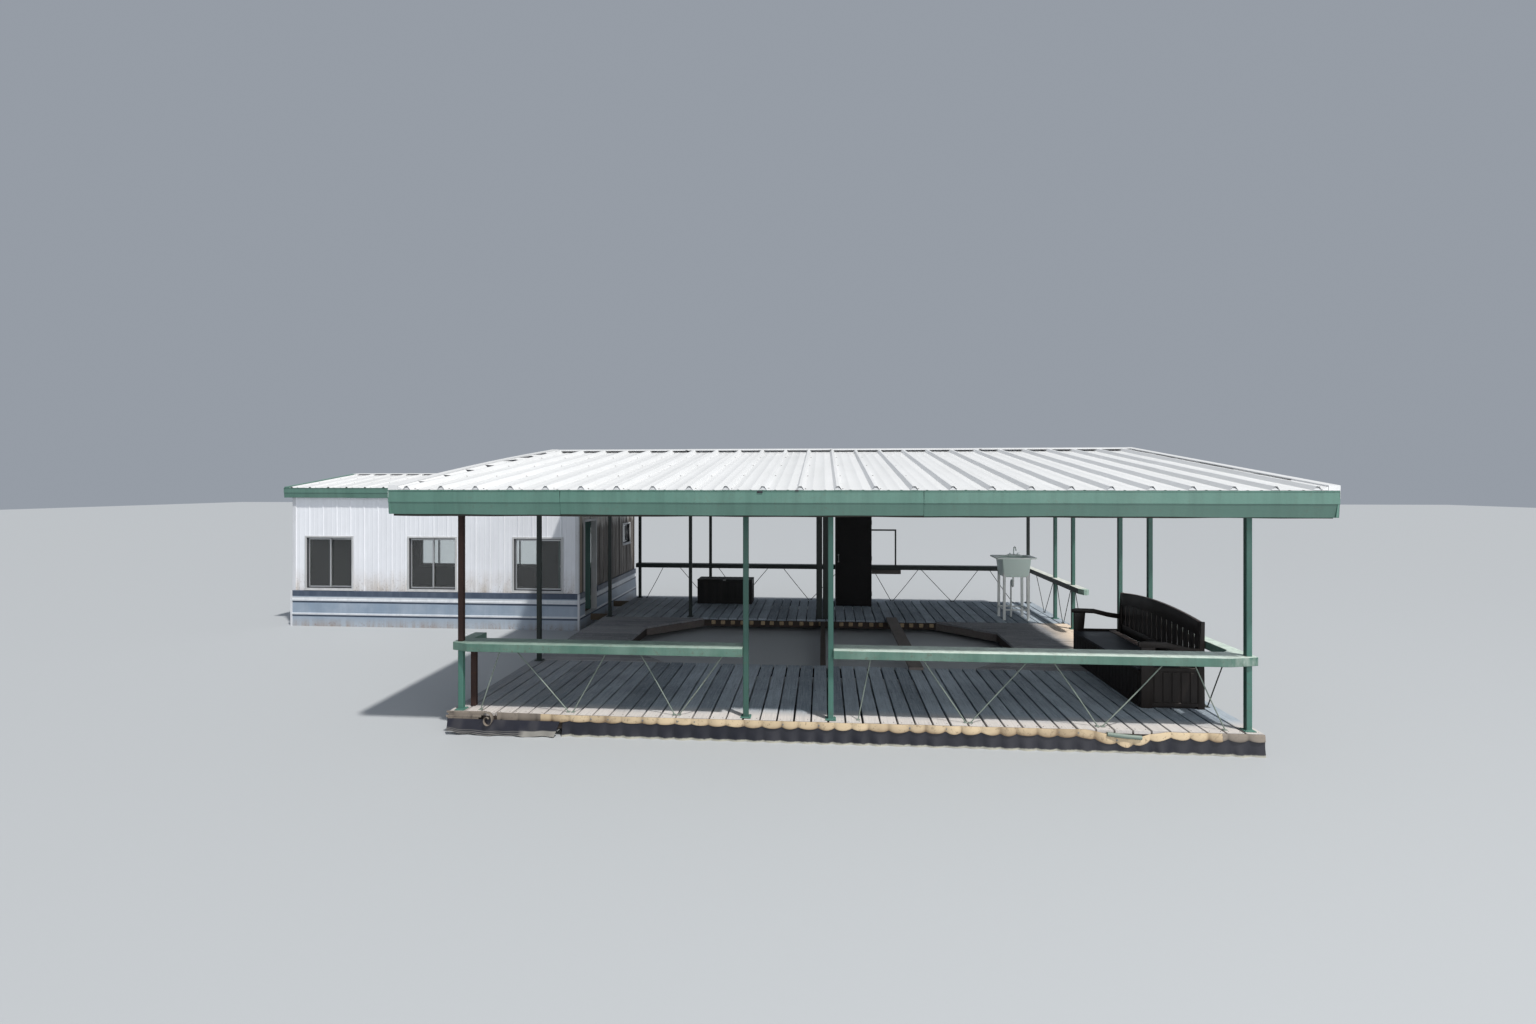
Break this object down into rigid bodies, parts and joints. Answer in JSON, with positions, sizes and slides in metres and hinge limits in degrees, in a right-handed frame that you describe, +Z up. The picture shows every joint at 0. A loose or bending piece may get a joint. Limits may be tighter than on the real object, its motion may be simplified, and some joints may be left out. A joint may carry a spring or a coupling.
{
  "type": "houseboat",
  "caption": "Floating cabin beside a roofed deck float with an open well, rails, bench, sink, locker and deck box; cabin door and lids hinge.",
  "frame": {"origin": "middle of the whole object's box, at the level of the float bottoms", "axes": "+X along the deck's front edge, away from the cabin; +Y from the gated front edge to the back; +Z up"},
  "size_m": [16.6, 10.546, 3.9504],
  "materials": {
    "green_paint": "weathered satin, chalky on top faces",
    "dark_green_paint": "weathered satin with rust at the feet",
    "roof_white": "satin, streaked",
    "deck_wood": "weathered, grey, dry",
    "frame_steel": "dull, rusty",
    "float_black": "moulded, scuffed",
    "bumper_tan": "faded, chalky",
    "mat_black": "dull",
    "siding_white": "ribbed sheet, streaked",
    "skirt_blue": "faded, dented sheet",
    "glass": "clear",
    "locker_black": "satin",
    "bench_brown": "moulded, worn satin",
    "box_black": "moulded, matt",
    "tub_green": "moulded, matt",
    "door_teal": "satin"
  },
  "bodies": {
    "root": {"fascia_front": "green_paint", "fascia_back": "green_paint", "fascia_left": "green_paint", "fascia_right": "green_paint", "rail_front_left": "green_paint", "rail_front_right": "green_paint", "rail_back": "green_paint", "cabin_fascia": "green_paint", "posts_front": "dark_green_paint", "posts_back": "dark_green_paint", "posts_left": "dark_green_paint", "posts_right": "dark_green_paint", "posts_inner": "dark_green_paint", "truss_left": "dark_green_paint", "truss_middle": "dark_green_paint", "truss_right": "dark_green_paint", "purlins_front": "dark_green_paint", "purlins_back": "dark_green_paint", "roof_front": "roof_white", "roof_back": "roof_white", "ridge_cap": "roof_white", "cabin_roof_front": "roof_white", "cabin_roof_back": "roof_white", "cabin_ridge_cap": "roof_white", "boards_front": "deck_wood", "boards_back": "deck_wood", "boards_left": "deck_wood", "boards_right": "deck_wood", "well_plank": "deck_wood", "deck_frame": "frame_steel", "cabin_floor": "frame_steel", "float_front": "float_black", "float_back": "float_black", "float_left": "float_black", "float_right": "float_black", "cabin_float_front": "float_black", "cabin_float_back": "float_black", "bumper_front": "bumper_tan", "mat_front_left": "mat_black", "cabin_wall_front": "siding_white", "cabin_wall_back": "siding_white", "cabin_wall_left": "siding_white", "cabin_wall_right": "siding_white", "cabin_skirt": "skirt_blue", "glass_front_1": "glass", "glass_front_2": "glass", "glass_front_3": "glass", "glass_back_1": "glass", "glass_back_2": "glass", "glass_back_3": "glass", "glass_right": "glass", "locker_body": "locker_black", "bench_box": "bench_brown", "bench_back": "bench_brown", "deck_box": "box_black", "sink": "tub_green"},
    "cabin_door": {"cabin_door": "door_teal"},
    "locker_door": {"locker_door": "locker_black"},
    "bench_seat": {"bench_seat": "bench_brown"},
    "deck_box_lid": {"deck_box_lid": "box_black"}
  },
  "joints": [
    {"name": "cabin_door_hinge", "type": "hinge", "parent": "root", "child": "cabin_door", "pos_m": [-2.062, 2.03, 1.5], "axis": [0, 0, -1], "range_deg": [-80, 10]},
    {"name": "locker_door_hinge", "type": "hinge", "parent": "root", "child": "locker_door", "pos_m": [4.132, 2.83, 1.6], "axis": [0, 0, 1], "range_deg": [0, 110]},
    {"name": "bench_seat_hinge", "type": "hinge", "parent": "root", "child": "bench_seat", "pos_m": [7.595, -2.792, 1.049], "axis": [0, 1, 0], "range_deg": [0, 80]},
    {"name": "deck_box_lid_hinge", "type": "hinge", "parent": "root", "child": "deck_box_lid", "pos_m": [0.79, 3.373, 1.134], "axis": [-1, 0, 0], "range_deg": [0, 80]}
  ]
}
